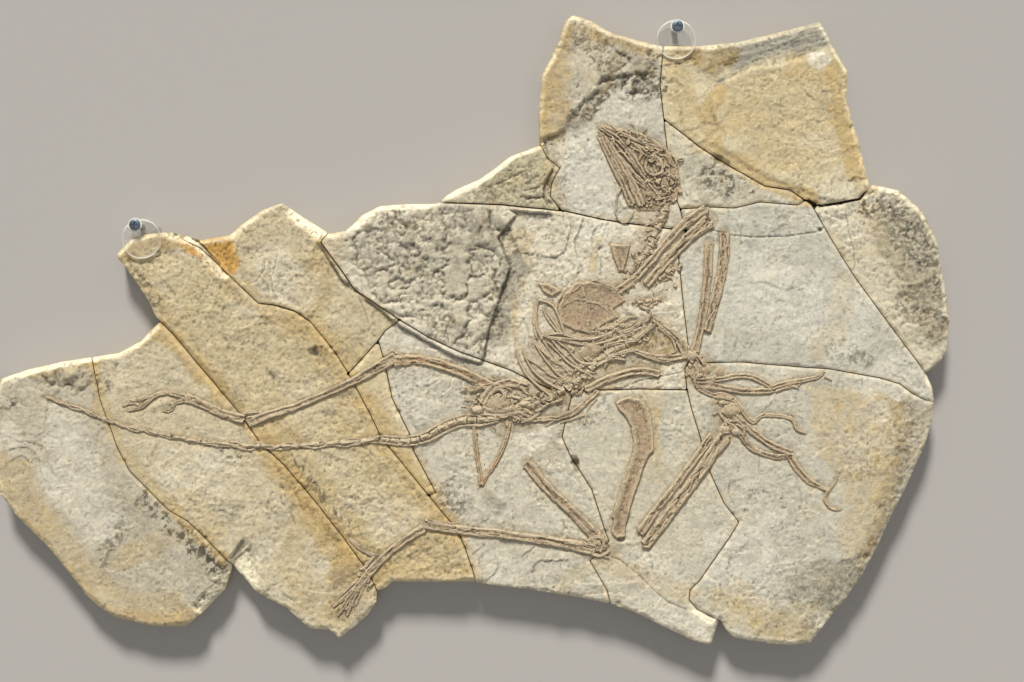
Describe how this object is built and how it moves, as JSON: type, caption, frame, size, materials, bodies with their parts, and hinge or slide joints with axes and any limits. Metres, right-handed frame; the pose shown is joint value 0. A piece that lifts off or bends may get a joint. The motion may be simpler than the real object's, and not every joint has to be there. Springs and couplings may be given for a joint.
{
  "type": "fossil slab with long-tailed bird skeleton",
  "caption": "Cracked pale mudstone slab with the flattened skeleton of an early long-tailed bird in relief, with clear round holders and their screws.",
  "frame": {"origin": "middle of the whole object's plan box, in the plane of the slab's flat back, which is the surface it rests on", "axes": "+Z out of the slab's fossil face, +X from the tail's tip towards the wings, +Y from the legs' side towards the skull"},
  "size_m": [0.728, 0.4798, 0.028],
  "materials": {
    "pale_mudstone": "matte pale cream-grey laminated mudstone, fine-grained, with flaky bedding steps and dark mineral specks",
    "tan_mudstone": "matte tan-grey mudstone with ochre iron staining along the breaks",
    "ochre_mudstone": "matte iron-stained ochre mudstone with paler broken edges",
    "fossil_bone": "brown fossil bone, satin to matte, crushed and cracked, with pale abraded ridges and dark hollows",
    "rusty_bone": "fossil bone stained orange-brown by iron",
    "clear_acrylic": "clear cast acrylic with polished bevelled edges",
    "zinc_steel": "dull zinc-plated steel with a cross recess"
  },
  "bodies": {
    "root": {"slab_tail_tip": "tan_mudstone", "slab_left": "tan_mudstone", "slab_band": "ochre_mudstone", "slab_shoulder": "tan_mudstone", "slab_strip": "ochre_mudstone", "slab_pelvis": "pale_mudstone", "slab_wing": "pale_mudstone", "slab_breast": "pale_mudstone", "slab_wedge": "pale_mudstone", "slab_head": "pale_mudstone", "slab_top_corner": "ochre_mudstone", "slab_nape": "pale_mudstone", "slab_right": "pale_mudstone", "slab_right_edge": "pale_mudstone", "slab_lower_right": "ochre_mudstone", "skull": "fossil_bone", "neck": "fossil_bone", "scapula_right": "fossil_bone", "humerus_right": "fossil_bone", "radius_right": "fossil_bone", "ulna_right": "fossil_bone", "furcula": "fossil_bone", "hand_right": "fossil_bone", "hand_left": "fossil_bone", "ulna_left": "fossil_bone", "radius_left": "fossil_bone", "humerus_left": "fossil_bone", "coracoid_left": "fossil_bone", "sternum": "fossil_bone", "sternal_process": "fossil_bone", "ribs_right": "fossil_bone", "shoulder_vertebra_upper": "fossil_bone", "shoulder_vertebra_lower": "fossil_bone", "trunk": "fossil_bone", "sacrum": "fossil_bone", "scapula_left": "fossil_bone", "pelvis": "fossil_bone", "femur_left": "rusty_bone", "tibia_left": "fossil_bone", "foot_left": "fossil_bone", "tibia_right": "fossil_bone", "femur_right": "fossil_bone", "foot_right": "fossil_bone", "ischium": "fossil_bone", "pubes": "rusty_bone", "tail_base": "fossil_bone", "tail_middle": "fossil_bone", "tail_tip": "fossil_bone", "holder_top": "clear_acrylic", "holder_left": "clear_acrylic", "screw_top": "zinc_steel", "screw_left": "zinc_steel"}
  },
  "joints": []
}
